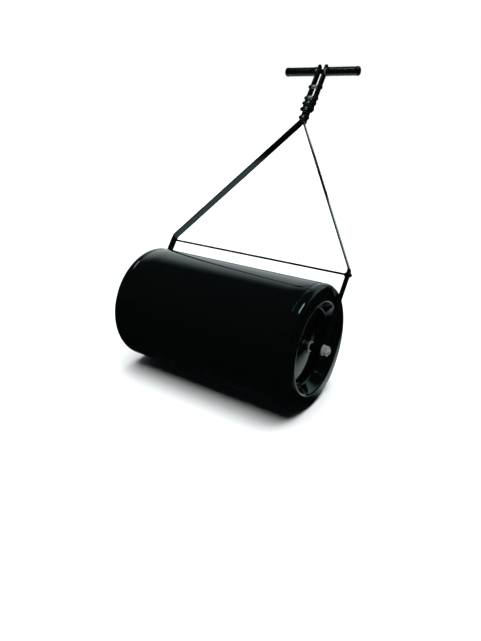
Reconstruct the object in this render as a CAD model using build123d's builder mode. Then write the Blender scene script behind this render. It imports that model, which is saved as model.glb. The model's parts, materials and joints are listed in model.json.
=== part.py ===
from build123d import *
import os
from math import cos, radians, sin, tan

# Lawn roller: a hollow steel drum, filled with water for weight, that turns on an axle
# carried by a frame of flat bar with a T handle. Millimetres. +Z is up, +X is the way it
# is pushed, +Y is the left of the person who pushes. The origin is on the ground under
# the middle of the axle.

# ---- driving dimensions: drum
DRUM_DIAMETER = 355.6
DRUM_LENGTH = 609.6
SHELL_WALL = 2.0
HEAD_WALL = 2.0
SEAM_INSET = 30.0          # end of the barrel, in from the rim of the head
SEAM_GROOVE = 1.0          # between the barrel's edge and the head's step
LAP_LENGTH = 14.0          # how far the head reaches into the barrel
SHOULDER_RADIUS = 20.0
RIM_BAND = 47.8            # from the outside of the drum to the mouth of its recess
RECESS_DRAFT = 18.0        # how much the recess narrows from its mouth to its floor
RECESS_DEPTH = 38.0
RECESS_RIM_ROUND = 10.0
RECESS_FLOOR_ROUND = 12.0
FLOOR_DOME = 4.0           # how far the recess floor rises towards the axle
STEP_ROUND = 2.2           # of the step from the skirt to the barrel's radius
HUB_LAND = 10.0            # flat of the floor round the axle tube
AXLE_TUBE_WALL = 2.9
AXLE_TUBE_PROUD = 5.0
BUSH_WALL = 2.45
BUSH_FLANGE_DIAMETER = 32.0
BUSH_FLANGE = 3.0
BUSH_DEPTH = 28.0
BUSH_CHAMFER = 0.8

# ---- driving dimensions: filler
FILLER_ANGLE = -35.0       # of the filler hole from +X, about the axle
FILLER_BORE = 33.25
FILLER_BOSS_DIAMETER = 50.0
FILLER_BOSS_HEIGHT = 5.0   # above the top of the dome
BOSS_CHAMFER = 1.5
FILLER_GASKET = 2.5
PLUG_HEX = 30.0
PLUG_HEX_HEIGHT = 9.0
PLUG_FLANGE_DIAMETER = 42.0
PLUG_FLANGE = 4.0
PLUG_SHANK = 14.0
PLUG_CHAMFER = 1.2

# ---- driving dimensions: axle
AXLE_DIAMETER = 15.875
AXLE_CHAMFER = 1.5
AXLE_RIM_GAP = 8.0         # from the rim of the drum to the inside of an arm
AXLE_NUT_HEX = 24.0
AXLE_NUT = 13.0
AXLE_WASHER_DIAMETER = 30.0
AXLE_WASHER = 3.0
THRUST_WASHER = 2.5
SLEEVE_WALL = 2.9
THREAD_SHOWN = 4.5         # end of the axle past its nut

# ---- driving dimensions: frame. "Reach" is the distance from the axle in the frame's plane.
FRAME_LEAN = 37.6          # of that plane, from upright, towards the person
BAR_WIDTH = 25.4
BAR_THICKNESS = 4.76
BAR_EDGE_ROUND = 0.6
BEND_RADIUS = 16.0         # to the middle of the bar
ARM_TAIL = 25.0            # of an arm, past the axle
KNEE_CLEARANCE = 58.2      # from the drum's surface to the bend of an arm
TIE_BELOW_KNEE = 15.0
NECK_REACH = 696.0
NECK_LENGTH = 84.0
NECK_GAP = 6.5             # between the arms at the neck
STRAP_OVERLAP = 44.0       # how far the straps reach down over the arms
STRAP_LENGTH = 181.0
STRAP_SHIM = 1.5
JOINT_BOLT_MARGIN = 11.0   # from the ends of the overlap to the bolts through it
APEX_BOLT_OFFSET = 20.0    # past the bend at the foot of the neck
SPACER_GAP = 1.5           # from the end of the arms to the lower spacer
UPPER_SPACER_DROP = 60.0   # from the handle bar
TOP_MARGIN = 25.0          # of a strap, past the handle bar
TIE_DIAMETER = 6.35
TIE_NUT_HEX = 11.0
TIE_NUT = 5.5
TIE_WASHER_DIAMETER = 16.0
TIE_WASHER = 1.5
TIE_THREAD = 3.0
TIE_CHAMFER = 0.8
NECK_BOLT = 8.0
NECK_BOLT_HEX = 13.0
NECK_BOLT_HEAD = 5.3
NECK_NUT = 6.5
NECK_WASHER_DIAMETER = 16.0
NECK_WASHER = 1.6
NECK_THREAD = 3.0
NECK_RING_DIAMETER = 15.0
LOWER_SPACER_DIAMETER = 15.0
UPPER_SPACER_DIAMETER = 13.0
HANDLE_WIDTH = 265.0
HANDLE_BAR_DIAMETER = 15.9
COLLAR_WALL = 2.5
COLLAR_LENGTH = 3.0
GRIP_DIAMETER = 30.0
GRIP_LENGTH = 113.0
GRIP_END = 4.0
GRIP_ROUND = 6.0

HEX_LAND = 0.95            # round face of a nut or bolt head, as a share of its flats
BAR_END_FLAT = 0.3         # left square, each side of the middle of a bar's round end

# ---- clearances
RUNNING_FIT = 0.06         # radial, bush on axle
SLIDING_FIT = 0.2          # radial, sleeve and washers on the axle
BOLT_CLEARANCE = 0.25      # radial, bolts in their holes
END_FLOAT = 0.4            # of the drum, at each end
THREAD_FIT = 0.15          # radial, plug in its boss
FACE_GAP = 0.1             # gasket off the boss, and plug off the gasket
GASKET_FIT = 0.4           # radial, gasket on the plug

# ---- worked out
DRUM_RADIUS = DRUM_DIAMETER / 2
SHELL_INNER = DRUM_RADIUS - SHELL_WALL
RIM = DRUM_LENGTH / 2
SEAM = RIM - SEAM_INSET
FLOOR = RIM - RECESS_DEPTH
AXLE_RADIUS = AXLE_DIAMETER / 2
TUBE_BORE = AXLE_RADIUS + RUNNING_FIT + BUSH_WALL
TUBE_RADIUS = TUBE_BORE + AXLE_TUBE_WALL
RECESS_RIM_RADIUS = DRUM_RADIUS - RIM_BAND
RECESS_FLOOR_RADIUS = RECESS_RIM_RADIUS - RECESS_DRAFT
HUB_FACE = FLOOR + FLOOR_DOME
TUBE_END = HUB_FACE + AXLE_TUBE_PROUD
FLANGE_FACE = TUBE_END + BUSH_FLANGE
THRUST_START = FLANGE_FACE + END_FLOAT
SLEEVE_START = THRUST_START + THRUST_WASHER
ARM_INSIDE = RIM + AXLE_RIM_GAP
ARM_OUTSIDE = ARM_INSIDE + BAR_THICKNESS
AXLE_END = ARM_OUTSIDE + AXLE_WASHER + AXLE_NUT + THREAD_SHOWN

KNEE_REACH = DRUM_RADIUS + KNEE_CLEARANCE
TIE_REACH = KNEE_REACH - TIE_BELOW_KNEE
ARM_TOP = NECK_REACH + NECK_LENGTH
STRAP_START = ARM_TOP - STRAP_OVERLAP
STRAP_TOP = STRAP_START + STRAP_LENGTH
HANDLE_REACH = STRAP_TOP - TOP_MARGIN
NECK_OUTSIDE = NECK_GAP / 2 + BAR_THICKNESS
STRAP_INSIDE = NECK_OUTSIDE + STRAP_SHIM
STRAP_OUTSIDE = STRAP_INSIDE + BAR_THICKNESS
APEX_BOLT_REACH = NECK_REACH + APEX_BOLT_OFFSET
JOINT_BOLT_REACHES = (STRAP_START + JOINT_BOLT_MARGIN, ARM_TOP - JOINT_BOLT_MARGIN)
LOWER_SPACER_REACH = ARM_TOP + SPACER_GAP + LOWER_SPACER_DIAMETER / 2
UPPER_SPACER_REACH = HANDLE_REACH - UPPER_SPACER_DROP
STRAP_BOLT_REACHES = (*JOINT_BOLT_REACHES, LOWER_SPACER_REACH, UPPER_SPACER_REACH)


# Sections turned about the axle are drawn with x out from it and y along it.
AXLE_AXIS = Axis((0, 0, DRUM_RADIUS), (0, 1, 0))
AXLE_SECTION = Plane(origin=(0, 0, DRUM_RADIUS), x_dir=(1, 0, 0), z_dir=(0, 0, 1))

# The frame's plane: x is the reach from the axle, y is across the frame.
ALONG_FRAME = Vector(-sin(radians(FRAME_LEAN)), 0, cos(radians(FRAME_LEAN)))
FRAME_PLANE = Plane(
    origin=(0, 0, DRUM_RADIUS),
    x_dir=ALONG_FRAME,
    z_dir=ALONG_FRAME.cross(Vector(0, 1, 0)),
)


def across(reach, y):
    """Plane square to Y, at a reach up the frame; its x runs on up the frame."""
    origin = Vector(0, y, DRUM_RADIUS) + ALONG_FRAME * reach
    return Plane(origin=origin, x_dir=ALONG_FRAME, z_dir=(0, 1, 0))


def finish(part, name):
    """Name a sub-part and write its file."""
    part.label = name
    export_step(part, f"parts/{name}.step")


def turned(reach, low, high, radius, bore=0.0, mode=Mode.ADD):
    """Round bar, washer or tube along Y between two faces, at a reach up the frame."""
    with BuildSketch(across(reach, low)) as outline:
        Circle(radius)
        if bore:
            Circle(bore, mode=Mode.SUBTRACT)
    extrude(outline.sketch, amount=high - low, mode=mode)


def hexagon(reach, low, high, flats, bore=0.0):
    """Nut or bolt head along Y, its corners turned off at 30 degrees."""
    corner = flats / 3**0.5
    height = high - low
    land = HEX_LAND * flats / 2
    clear = corner + 1
    slope = (clear - land) * tan(radians(30))
    centre = across(reach, low).origin
    with BuildSketch(across(reach, low)) as outline:
        RegularPolygon(corner, 6)
        if bore:
            Circle(bore, mode=Mode.SUBTRACT)
    blank = extrude(outline.sketch, amount=height, mode=Mode.PRIVATE)
    with BuildSketch(Plane(origin=centre, x_dir=ALONG_FRAME, z_dir=FRAME_PLANE.z_dir)) as section:
        with BuildLine():
            Polyline(
                (0, 0),
                (land, 0),
                (clear, slope),
                (clear, height - slope),
                (land, height),
                (0, height),
                close=True,
            )
        make_face()
    lathe = revolve(section.sketch, axis=Axis(centre, (0, 1, 0)), mode=Mode.PRIVATE)
    add(blank & lathe)


def round_edges(bar):
    """Take the sharpness off the two outlines of a flat bar, but not its end corners."""
    fillet(bar.edges().filter_by(lambda edge: not on_axis_y(edge)), radius=BAR_EDGE_ROUND)


def on_axis_y(edge):
    """True for a straight edge along Y."""
    return edge.geom_type == GeomType.LINE and abs((edge % 0.5).Y) > 0.999


def mirrored(part):
    """The same piece on the other side of the machine."""
    return mirror(part, about=Plane.XZ, mode=Mode.PRIVATE)


os.makedirs("parts", exist_ok=True)

# ==== drum ====
with BuildPart() as drum_shell:
    turned(0, -SEAM, SEAM, DRUM_RADIUS, SHELL_INNER)
finish(drum_shell.part, "drum_shell")

# Pressed head: a skirt inside the barrel, a step out to the barrel's own radius, a round
# shoulder, a flat rim, and a dished floor that rises to the axle tube.
with BuildPart() as drum_head_left:
    with BuildSketch(AXLE_SECTION):
        with BuildLine() as sheet:
            FilletPolyline(
                (SHELL_INNER, SEAM - LAP_LENGTH),
                (SHELL_INNER, SEAM + SEAM_GROOVE),
                (DRUM_RADIUS, SEAM + SEAM_GROOVE + SHELL_WALL),
                (DRUM_RADIUS, RIM),
                (RECESS_RIM_RADIUS, RIM),
                (RECESS_FLOOR_RADIUS, FLOOR),
                (TUBE_RADIUS + HUB_LAND, HUB_FACE),
                (TUBE_RADIUS, HUB_FACE),
                radius=[
                    STEP_ROUND,
                    STEP_ROUND,
                    SHOULDER_RADIUS,
                    RECESS_RIM_ROUND,
                    RECESS_FLOOR_ROUND,
                    HUB_LAND / 2,
                ],
            )
            offset(amount=HEAD_WALL, side=Side.LEFT)
        make_face()
    revolve(axis=AXLE_AXIS)
finish(drum_head_left.part, "drum_head_left")

FILLER_RADIUS = (RECESS_FLOOR_RADIUS + AXLE_WASHER_DIAMETER / 2) / 2
FILLER_X = FILLER_RADIUS * cos(radians(FILLER_ANGLE))
FILLER_Z = DRUM_RADIUS + FILLER_RADIUS * sin(radians(FILLER_ANGLE))
BOSS_FACE = FLOOR + FLOOR_DOME + FILLER_BOSS_HEIGHT
BOSS_INSIDE = FLOOR - HEAD_WALL - FLOOR_DOME


def filler_plane(y):
    """Plane facing out of the right-hand head, on the filler's axis."""
    return Plane(origin=(FILLER_X, -y, FILLER_Z), x_dir=(1, 0, 0), z_dir=(0, -1, 0))


with BuildPart() as drum_head_right:
    add(mirrored(drum_head_left.part))
    with BuildSketch(filler_plane(BOSS_INSIDE)):
        Circle(FILLER_BOSS_DIAMETER / 2)
    extrude(amount=BOSS_FACE - BOSS_INSIDE, mode=Mode.SUBTRACT)
finish(drum_head_right.part, "drum_head_right")

with BuildPart() as fill_boss:
    with BuildSketch(filler_plane(BOSS_INSIDE)):
        Circle(FILLER_BOSS_DIAMETER / 2)
        Circle(FILLER_BORE / 2, mode=Mode.SUBTRACT)
    extrude(amount=BOSS_FACE - BOSS_INSIDE)
    chamfer(fill_boss.faces().sort_by(Axis.Y)[0].outer_wire().edges(), length=BOSS_CHAMFER)
finish(fill_boss.part, "fill_boss")

GASKET_START = BOSS_FACE + FACE_GAP
PLUG_START = GASKET_START + FILLER_GASKET + FACE_GAP
PLUG_RADIUS = FILLER_BORE / 2 - THREAD_FIT

with BuildPart() as plug_gasket:
    with BuildSketch(filler_plane(GASKET_START)):
        Circle(PLUG_FLANGE_DIAMETER / 2)
        Circle(PLUG_RADIUS + GASKET_FIT, mode=Mode.SUBTRACT)
    extrude(amount=FILLER_GASKET)
finish(plug_gasket.part, "plug_gasket")

with BuildPart() as fill_plug:
    with BuildSketch(filler_plane(PLUG_START - PLUG_SHANK)):
        Circle(PLUG_RADIUS)
    extrude(amount=PLUG_SHANK)
    chamfer(fill_plug.faces().sort_by(Axis.Y)[-1].edges(), length=PLUG_CHAMFER)
    with BuildSketch(filler_plane(PLUG_START)):
        Circle(PLUG_FLANGE_DIAMETER / 2)
    extrude(amount=PLUG_FLANGE)
    with BuildSketch(filler_plane(PLUG_START + PLUG_FLANGE)):
        RegularPolygon(PLUG_HEX / 3**0.5, 6)
    extrude(amount=PLUG_HEX_HEIGHT)
    chamfer(fill_plug.faces().sort_by(Axis.Y)[0].edges(), length=PLUG_CHAMFER)
finish(fill_plug.part, "fill_plug")

with BuildPart() as axle_tube:
    turned(0, -TUBE_END, TUBE_END, TUBE_RADIUS, TUBE_BORE)
finish(axle_tube.part, "axle_tube")

with BuildPart() as bush_left:
    turned(0, TUBE_END - BUSH_DEPTH, FLANGE_FACE, TUBE_BORE, AXLE_RADIUS + RUNNING_FIT)
    turned(0, TUBE_END, FLANGE_FACE, BUSH_FLANGE_DIAMETER / 2, AXLE_RADIUS + RUNNING_FIT)
    chamfer(bush_left.faces().sort_by(Axis.Y)[-1].outer_wire().edges(), length=BUSH_CHAMFER)
finish(bush_left.part, "bush_left")

with BuildPart() as bush_right:
    add(mirrored(bush_left.part))
finish(bush_right.part, "bush_right")

# ==== axle ====
SLIDING_BORE = AXLE_RADIUS + SLIDING_FIT

with BuildPart() as axle_rod:
    turned(0, -AXLE_END, AXLE_END, AXLE_RADIUS)
    chamfer(axle_rod.edges().filter_by(GeomType.CIRCLE), length=AXLE_CHAMFER)
finish(axle_rod.part, "axle_rod")

with BuildPart() as spacer_sleeve_left:
    turned(0, SLEEVE_START, ARM_INSIDE, SLIDING_BORE + SLEEVE_WALL, SLIDING_BORE)
finish(spacer_sleeve_left.part, "spacer_sleeve_left")

with BuildPart() as spacer_sleeve_right:
    add(mirrored(spacer_sleeve_left.part))
finish(spacer_sleeve_right.part, "spacer_sleeve_right")

with BuildPart() as thrust_washers:
    turned(0, THRUST_START, SLEEVE_START, AXLE_WASHER_DIAMETER / 2, SLIDING_BORE)
    turned(0, -SLEEVE_START, -THRUST_START, AXLE_WASHER_DIAMETER / 2, SLIDING_BORE)
finish(thrust_washers.part, "thrust_washers")

AXLE_NUT_START = ARM_OUTSIDE + AXLE_WASHER
AXLE_NUT_END = AXLE_NUT_START + AXLE_NUT

with BuildPart() as axle_washers:
    turned(0, ARM_OUTSIDE, AXLE_NUT_START, AXLE_WASHER_DIAMETER / 2, SLIDING_BORE)
    turned(0, -AXLE_NUT_START, -ARM_OUTSIDE, AXLE_WASHER_DIAMETER / 2, SLIDING_BORE)
finish(axle_washers.part, "axle_washers")

with BuildPart() as axle_nuts:
    hexagon(0, AXLE_NUT_START, AXLE_NUT_END, AXLE_NUT_HEX, AXLE_RADIUS)
    hexagon(0, -AXLE_NUT_END, -AXLE_NUT_START, AXLE_NUT_HEX, AXLE_RADIUS)
finish(axle_nuts.part, "axle_nuts")

# ==== frame ====
ARM_MIDDLE = ARM_INSIDE + BAR_THICKNESS / 2
NECK_MIDDLE = NECK_GAP / 2 + BAR_THICKNESS / 2
BAR_END_ROUND = BAR_WIDTH / 2 - BAR_END_FLAT

with BuildPart() as arm_left:
    with BuildSketch(FRAME_PLANE):
        with BuildLine():
            FilletPolyline(
                (-ARM_TAIL, ARM_MIDDLE),
                (KNEE_REACH, ARM_MIDDLE),
                (NECK_REACH, NECK_MIDDLE),
                (ARM_TOP, NECK_MIDDLE),
                radius=BEND_RADIUS,
            )
        trace(line_width=BAR_THICKNESS)
    extrude(amount=BAR_WIDTH / 2, both=True)
    fillet(arm_left.edges().filter_by(Axis.Y), radius=BAR_END_ROUND)
    round_edges(arm_left.part)
    turned(0, 0, 2 * ARM_OUTSIDE, AXLE_RADIUS + BOLT_CLEARANCE, mode=Mode.SUBTRACT)
    turned(TIE_REACH, 0, 2 * ARM_OUTSIDE, TIE_DIAMETER / 2 + BOLT_CLEARANCE, mode=Mode.SUBTRACT)
    for reach in (APEX_BOLT_REACH, *JOINT_BOLT_REACHES):
        turned(reach, 0, ARM_OUTSIDE, NECK_BOLT / 2 + BOLT_CLEARANCE, mode=Mode.SUBTRACT)
finish(arm_left.part, "arm_left")

with BuildPart() as arm_right:
    add(mirrored(arm_left.part))
finish(arm_right.part, "arm_right")

TIE_NUT_START = ARM_OUTSIDE + TIE_WASHER
TIE_NUT_END = TIE_NUT_START + TIE_NUT
TIE_INNER_NUT_END = ARM_INSIDE - TIE_WASHER
TIE_INNER_NUT_START = TIE_INNER_NUT_END - TIE_NUT
TIE_END = TIE_NUT_END + TIE_THREAD
TIE_RADIUS = TIE_DIAMETER / 2

with BuildPart() as tie_rod:
    turned(TIE_REACH, -TIE_END, TIE_END, TIE_RADIUS)
    chamfer(tie_rod.edges().filter_by(GeomType.CIRCLE), length=TIE_CHAMFER)
finish(tie_rod.part, "tie_rod")

with BuildPart() as tie_rod_washers:
    for low in (ARM_OUTSIDE, TIE_INNER_NUT_END, -TIE_NUT_START, -ARM_INSIDE):
        turned(TIE_REACH, low, low + TIE_WASHER, TIE_WASHER_DIAMETER / 2, TIE_RADIUS + SLIDING_FIT)
finish(tie_rod_washers.part, "tie_rod_washers")

with BuildPart() as tie_rod_nuts:
    for low in (TIE_NUT_START, TIE_INNER_NUT_START, -TIE_NUT_END, -TIE_INNER_NUT_END):
        hexagon(TIE_REACH, low, low + TIE_NUT, TIE_NUT_HEX, TIE_RADIUS)
finish(tie_rod_nuts.part, "tie_rod_nuts")

# ==== neck ====
with BuildPart() as strap_left:
    with BuildSketch(across((STRAP_START + STRAP_TOP) / 2, STRAP_INSIDE)):
        Rectangle(STRAP_LENGTH, BAR_WIDTH)
    extrude(amount=BAR_THICKNESS)
    fillet(strap_left.edges().filter_by(Axis.Y), radius=BAR_END_ROUND)
    round_edges(strap_left.part)
    for reach in STRAP_BOLT_REACHES:
        turned(reach, 0, 2 * STRAP_OUTSIDE, NECK_BOLT / 2 + BOLT_CLEARANCE, mode=Mode.SUBTRACT)
    turned(HANDLE_REACH, 0, 2 * STRAP_OUTSIDE, HANDLE_BAR_DIAMETER / 2, mode=Mode.SUBTRACT)
finish(strap_left.part, "strap_left")

with BuildPart() as strap_right:
    add(mirrored(strap_left.part))
finish(strap_right.part, "strap_right")

BOLT_BORE = NECK_BOLT / 2 + SLIDING_FIT

with BuildPart() as neck_rings:
    for reach in (APEX_BOLT_REACH, *JOINT_BOLT_REACHES):
        turned(reach, -NECK_GAP / 2, NECK_GAP / 2, NECK_RING_DIAMETER / 2, BOLT_BORE)
finish(neck_rings.part, "neck_rings")

with BuildPart() as strap_washers:
    for reach in JOINT_BOLT_REACHES:
        turned(reach, NECK_OUTSIDE, STRAP_INSIDE, NECK_WASHER_DIAMETER / 2, BOLT_BORE)
        turned(reach, -STRAP_INSIDE, -NECK_OUTSIDE, NECK_WASHER_DIAMETER / 2, BOLT_BORE)
finish(strap_washers.part, "strap_washers")

with BuildPart() as spacer_tube_lower:
    turned(LOWER_SPACER_REACH, -STRAP_INSIDE, STRAP_INSIDE, LOWER_SPACER_DIAMETER / 2, BOLT_BORE)
finish(spacer_tube_lower.part, "spacer_tube_lower")

with BuildPart() as spacer_tube_upper:
    turned(UPPER_SPACER_REACH, -STRAP_INSIDE, STRAP_INSIDE, UPPER_SPACER_DIAMETER / 2, BOLT_BORE)
finish(spacer_tube_upper.part, "spacer_tube_upper")

# Each neck bolt: where it is, and the outer faces that it clamps.
NECK_BOLTS = [(APEX_BOLT_REACH, NECK_OUTSIDE)]
NECK_BOLTS += [(reach, STRAP_OUTSIDE) for reach in STRAP_BOLT_REACHES]

with BuildPart() as neck_bolts:
    for reach, face in NECK_BOLTS:
        under_head = face + NECK_WASHER
        end = -(under_head + NECK_NUT + NECK_THREAD)
        turned(reach, end, under_head, NECK_BOLT / 2)
        hexagon(reach, under_head, under_head + NECK_BOLT_HEAD, NECK_BOLT_HEX)
finish(neck_bolts.part, "neck_bolts")

with BuildPart() as neck_bolt_washers:
    for reach, face in NECK_BOLTS:
        turned(reach, face, face + NECK_WASHER, NECK_WASHER_DIAMETER / 2, BOLT_BORE)
        turned(reach, -face - NECK_WASHER, -face, NECK_WASHER_DIAMETER / 2, BOLT_BORE)
finish(neck_bolt_washers.part, "neck_bolt_washers")

with BuildPart() as neck_nuts:
    for reach, face in NECK_BOLTS:
        top = -face - NECK_WASHER
        hexagon(reach, top - NECK_NUT, top, NECK_BOLT_HEX, NECK_BOLT / 2)
finish(neck_nuts.part, "neck_nuts")

# ==== handle ====
HANDLE_BAR_RADIUS = HANDLE_BAR_DIAMETER / 2
HANDLE_END = HANDLE_WIDTH / 2

with BuildPart() as handle_bar:
    turned(HANDLE_REACH, GRIP_END - HANDLE_END, HANDLE_END - GRIP_END, HANDLE_BAR_RADIUS)
finish(handle_bar.part, "handle_bar")

with BuildPart() as bar_collars:
    for low in (STRAP_OUTSIDE, -STRAP_OUTSIDE - COLLAR_LENGTH):
        turned(HANDLE_REACH, low, low + COLLAR_LENGTH, HANDLE_BAR_RADIUS + COLLAR_WALL, HANDLE_BAR_RADIUS)
finish(bar_collars.part, "bar_collars")

with BuildPart() as grip_left:
    turned(HANDLE_REACH, HANDLE_END - GRIP_LENGTH, HANDLE_END, GRIP_DIAMETER / 2)
    fillet(grip_left.faces().sort_by(Axis.Y)[-1].edges(), radius=GRIP_ROUND)
    fillet(grip_left.faces().sort_by(Axis.Y)[0].edges(), radius=GRIP_ROUND / 2)
    turned(HANDLE_REACH, 0, HANDLE_END - GRIP_END, HANDLE_BAR_RADIUS, mode=Mode.SUBTRACT)
finish(grip_left.part, "grip_left")

with BuildPart() as grip_right:
    add(mirrored(grip_left.part))
finish(grip_right.part, "grip_right")
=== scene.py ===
"""Looks of a lawn roller: a gloss black steel drum on a flat bar frame with a T handle."""

import json
import logging
import math
from collections.abc import Sequence
from dataclasses import dataclass, field
from enum import Enum

import bpy
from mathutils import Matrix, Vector

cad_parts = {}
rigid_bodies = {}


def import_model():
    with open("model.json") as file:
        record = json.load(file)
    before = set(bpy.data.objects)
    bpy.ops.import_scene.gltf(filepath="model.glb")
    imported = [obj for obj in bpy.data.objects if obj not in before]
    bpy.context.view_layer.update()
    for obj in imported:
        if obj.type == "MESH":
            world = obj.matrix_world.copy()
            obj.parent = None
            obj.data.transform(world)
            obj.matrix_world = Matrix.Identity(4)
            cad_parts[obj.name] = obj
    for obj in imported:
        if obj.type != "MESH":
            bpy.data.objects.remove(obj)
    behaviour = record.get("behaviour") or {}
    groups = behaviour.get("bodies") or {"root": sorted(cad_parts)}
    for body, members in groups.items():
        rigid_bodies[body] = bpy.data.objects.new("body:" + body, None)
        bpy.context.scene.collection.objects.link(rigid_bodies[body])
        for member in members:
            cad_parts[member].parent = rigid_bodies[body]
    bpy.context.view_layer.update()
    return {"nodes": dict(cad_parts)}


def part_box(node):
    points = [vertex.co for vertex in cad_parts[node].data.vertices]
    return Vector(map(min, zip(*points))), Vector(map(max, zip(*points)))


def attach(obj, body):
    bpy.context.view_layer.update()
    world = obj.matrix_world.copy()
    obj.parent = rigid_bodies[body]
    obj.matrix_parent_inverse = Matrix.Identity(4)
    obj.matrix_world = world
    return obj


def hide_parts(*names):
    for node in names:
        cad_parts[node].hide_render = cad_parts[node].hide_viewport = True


for leftover in list(bpy.data.objects):
    bpy.data.objects.remove(leftover)
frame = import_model()
log = logging.getLogger("lawn_roller")

MM = 0.001
WELD_GAP = 0.002 * MM
NOISE_SPAN = (0.3, 0.7)  # a noise seldom leaves this part of its range


class Side(Enum):
    """The two ends of the roller, by the sign of Y."""

    LEFT = 1
    RIGHT = -1

    def named(self, stem: str) -> str:
        """Name of a piece or node on this side."""
        return f"{stem}_{self.name.lower()}"


# ------------------------------------------------------------------ finishes


def linear(colour: str) -> tuple[float, float, float, float]:
    """Turn an sRGB hex colour into linear light.

    Args:
        colour: six hex digits after a hash.

    Returns:
        Red, green, blue and an alpha of 1.
    """
    parts = [int(colour[i : i + 2], 16) / 255 for i in (1, 3, 5)]
    light = [c / 12.92 if c <= 0.04045 else ((c + 0.055) / 1.055) ** 2.4 for c in parts]
    return (light[0], light[1], light[2], 1.0)


def per_metre(size_mm: float) -> float:
    """Noise scale whose features are about this many millimetres across."""
    return 1.0 / (size_mm * MM)


def add_node(
    tree: bpy.types.NodeTree, kind: str, inputs: dict | None = None, **settings: object
) -> bpy.types.Node:
    """Add one node with its settings and links.

    Args:
        tree: the node tree that it goes into.
        kind: the node's type name.
        inputs: by input name or number, a value or the socket that feeds it.
        settings: the node's own properties.

    Returns:
        The new node.
    """
    node = tree.nodes.new(kind)
    for name, value in settings.items():
        setattr(node, name, value)
    for key, value in (inputs or {}).items():
        if isinstance(value, bpy.types.NodeSocket):
            tree.links.new(value, node.inputs[key])
        else:
            node.inputs[key].default_value = value
    return node


def new_finish(name: str) -> tuple[bpy.types.Material, bpy.types.Node, bpy.types.NodeSocket]:
    """Start a material with only its shader and its output.

    Args:
        name: the material's name.

    Returns:
        The material, its shader and its Object coordinates.
    """
    material = bpy.data.materials.new(name)
    material.use_nodes = True
    tree = material.node_tree
    tree.nodes.clear()
    shader = add_node(tree, "ShaderNodeBsdfPrincipled")
    add_node(tree, "ShaderNodeOutputMaterial", {"Surface": shader.outputs["BSDF"]})
    return material, shader, add_node(tree, "ShaderNodeTexCoord").outputs["Object"]


def coat(
    material: bpy.types.Material,
    shader: bpy.types.Node,
    colour: bpy.types.Node,
    roughness: bpy.types.Node,
    skin: bpy.types.Node,
) -> bpy.types.Material:
    """Lead a finish's colour, roughness and surface into its shader.

    Args:
        material: the finish.
        shader: its shader.
        colour: the colour mix.
        roughness: the roughness.
        skin: the last bump.

    Returns:
        The finish.
    """
    links = material.node_tree.links
    links.new(colour.outputs[2], shader.inputs["Base Color"])
    links.new(roughness.outputs[0], shader.inputs["Roughness"])
    links.new(skin.outputs[0], shader.inputs["Normal"])
    return material


@dataclass(frozen=True)
class StovedEnamel:
    """Sprayed and stoved enamel on steel.

    The pigment gives almost nothing back; the eye sees the clear skin's reflections, which the
    slow waves of the sheet bend and the orange peel of the spray breaks up.
    """

    name: str
    pigment: str
    cloud: str
    roughness: float
    haze: float
    peel_mm: float
    peel_depth_mm: float
    wave_mm: float
    wave_depth_mm: float
    wave_stretch: tuple[float, float, float] = (1.0, 1.0, 1.0)
    cloud_mm: float = 70.0
    haze_mm: float = 28.0
    haze_span: tuple[float, float] = (0.35, 0.75)
    ior: float = 1.5
    tint: str = "#c9f2f4"

    def make(self) -> bpy.types.Material:
        """Build the material.

        Returns:
            The enamel.
        """
        material, shader, place = new_finish(self.name)
        tree = material.node_tree
        shader.inputs["IOR"].default_value = self.ior
        shader.inputs["Specular Tint"].default_value = linear(self.tint)
        cloud = add_node(
            tree,
            "ShaderNodeTexNoise",
            {"Vector": place, "Scale": per_metre(self.cloud_mm), "Detail": 3.0},
        )
        colour = add_node(
            tree,
            "ShaderNodeMix",
            {0: cloud.outputs["Fac"], 6: linear(self.pigment), 7: linear(self.cloud)},
            data_type="RGBA",
        )
        haze = add_node(
            tree,
            "ShaderNodeTexNoise",
            {"Vector": place, "Scale": per_metre(self.haze_mm), "Detail": 5.0},
        )
        roughness = add_node(
            tree,
            "ShaderNodeMapRange",
            {
                "Value": haze.outputs["Fac"],
                "From Min": self.haze_span[0],
                "From Max": self.haze_span[1],
                "To Min": self.roughness,
                "To Max": self.roughness + self.haze,
            },
        )
        drawn_out = add_node(
            tree,
            "ShaderNodeMapping",
            {"Vector": place, "Scale": tuple(1.0 / s for s in self.wave_stretch)},
        )
        wave = add_node(
            tree,
            "ShaderNodeTexNoise",
            {"Vector": drawn_out.outputs[0], "Scale": per_metre(self.wave_mm), "Detail": 1.0},
        )
        sheet = add_node(
            tree,
            "ShaderNodeBump",
            {"Height": wave.outputs["Fac"], "Distance": self.wave_depth_mm * MM},
        )
        peel = add_node(
            tree,
            "ShaderNodeTexNoise",
            {"Vector": place, "Scale": per_metre(self.peel_mm), "Detail": 1.0},
        )
        skin = add_node(
            tree,
            "ShaderNodeBump",
            {
                "Height": peel.outputs["Fac"],
                "Distance": self.peel_depth_mm * MM,
                "Normal": sheet.outputs[0],
            },
        )
        return coat(material, shader, colour, roughness, skin)


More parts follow.
